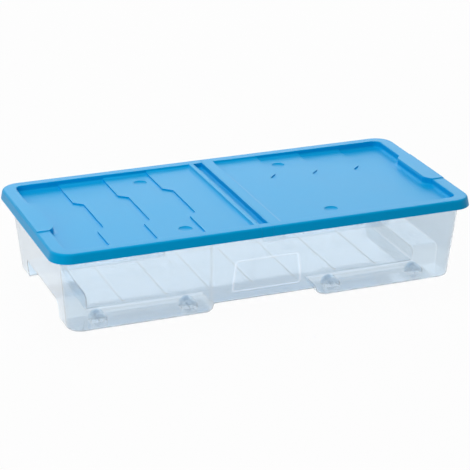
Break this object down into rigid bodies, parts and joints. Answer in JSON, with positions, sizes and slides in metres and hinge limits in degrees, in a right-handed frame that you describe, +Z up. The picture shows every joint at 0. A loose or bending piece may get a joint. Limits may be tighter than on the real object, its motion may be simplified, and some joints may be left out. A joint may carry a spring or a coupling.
{
  "type": "under bed box",
  "caption": "Long low clear plastic storage box on small wheels, with a stepped lid that folds up from either end along a centre strip.",
  "frame": {"origin": "on the floor under the middle of the box", "axes": "+X along the length to the right end, +Y to the rear, +Z up"},
  "size_m": [0.8, 0.388, 0.166],
  "materials": {
    "clear_tub": "clear polypropylene with a slight blue haze",
    "blue_lid": "satin moulded polypropylene, mid blue",
    "wheel": "natural translucent moulded plastic",
    "axle": "plain bright wire pin"
  },
  "bodies": {
    "tub": {"tub": "clear_tub", "axle_front_1": "axle", "axle_front_2": "axle", "axle_front_3": "axle", "axle_front_4": "axle", "axle_rear_1": "axle", "axle_rear_2": "axle", "axle_rear_3": "axle", "axle_rear_4": "axle"},
    "lid_strip": {"lid_hinge_strip": "blue_lid"},
    "lid_left": {"lid_left_half": "blue_lid"},
    "lid_right": {"lid_right_half": "blue_lid"},
    "wheel_front_1_body": {"wheel_front_1": "wheel"},
    "wheel_front_2_body": {"wheel_front_2": "wheel"},
    "wheel_front_3_body": {"wheel_front_3": "wheel"},
    "wheel_front_4_body": {"wheel_front_4": "wheel"},
    "wheel_rear_1_body": {"wheel_rear_1": "wheel"},
    "wheel_rear_2_body": {"wheel_rear_2": "wheel"},
    "wheel_rear_3_body": {"wheel_rear_3": "wheel"},
    "wheel_rear_4_body": {"wheel_rear_4": "wheel"}
  },
  "joints": [
    {"name": "lid_lift", "type": "slide", "parent": "tub", "child": "lid_strip", "axis": [0, 0, 1], "range_m": [0, 0.2]},
    {"name": "left_fold", "type": "hinge", "parent": "lid_strip", "child": "lid_left", "pos_m": [-0.0205, 0, 0.1645], "axis": [0, 1, 0], "range_deg": [0, 90]},
    {"name": "right_fold", "type": "hinge", "parent": "lid_strip", "child": "lid_right", "pos_m": [0.0015, 0, 0.1645], "axis": [0, -1, 0], "range_deg": [0, 90]},
    {"name": "roll_front_1", "type": "hinge", "parent": "tub", "child": "wheel_front_1_body", "pos_m": [-0.3073, -0.1315, 0.012], "axis": [0, 1, 0], "continuous": true},
    {"name": "roll_front_2", "type": "hinge", "parent": "tub", "child": "wheel_front_2_body", "pos_m": [-0.1388, -0.1315, 0.012], "axis": [0, 1, 0], "continuous": true},
    {"name": "roll_front_3", "type": "hinge", "parent": "tub", "child": "wheel_front_3_body", "pos_m": [0.1388, -0.1315, 0.012], "axis": [0, 1, 0], "continuous": true},
    {"name": "roll_front_4", "type": "hinge", "parent": "tub", "child": "wheel_front_4_body", "pos_m": [0.3073, -0.1315, 0.012], "axis": [0, 1, 0], "continuous": true},
    {"name": "roll_rear_1", "type": "hinge", "parent": "tub", "child": "wheel_rear_1_body", "pos_m": [-0.3073, 0.1315, 0.012], "axis": [0, 1, 0], "continuous": true},
    {"name": "roll_rear_2", "type": "hinge", "parent": "tub", "child": "wheel_rear_2_body", "pos_m": [-0.1388, 0.1315, 0.012], "axis": [0, 1, 0], "continuous": true},
    {"name": "roll_rear_3", "type": "hinge", "parent": "tub", "child": "wheel_rear_3_body", "pos_m": [0.1388, 0.1315, 0.012], "axis": [0, 1, 0], "continuous": true},
    {"name": "roll_rear_4", "type": "hinge", "parent": "tub", "child": "wheel_rear_4_body", "pos_m": [0.3073, 0.1315, 0.012], "axis": [0, 1, 0], "continuous": true}
  ]
}
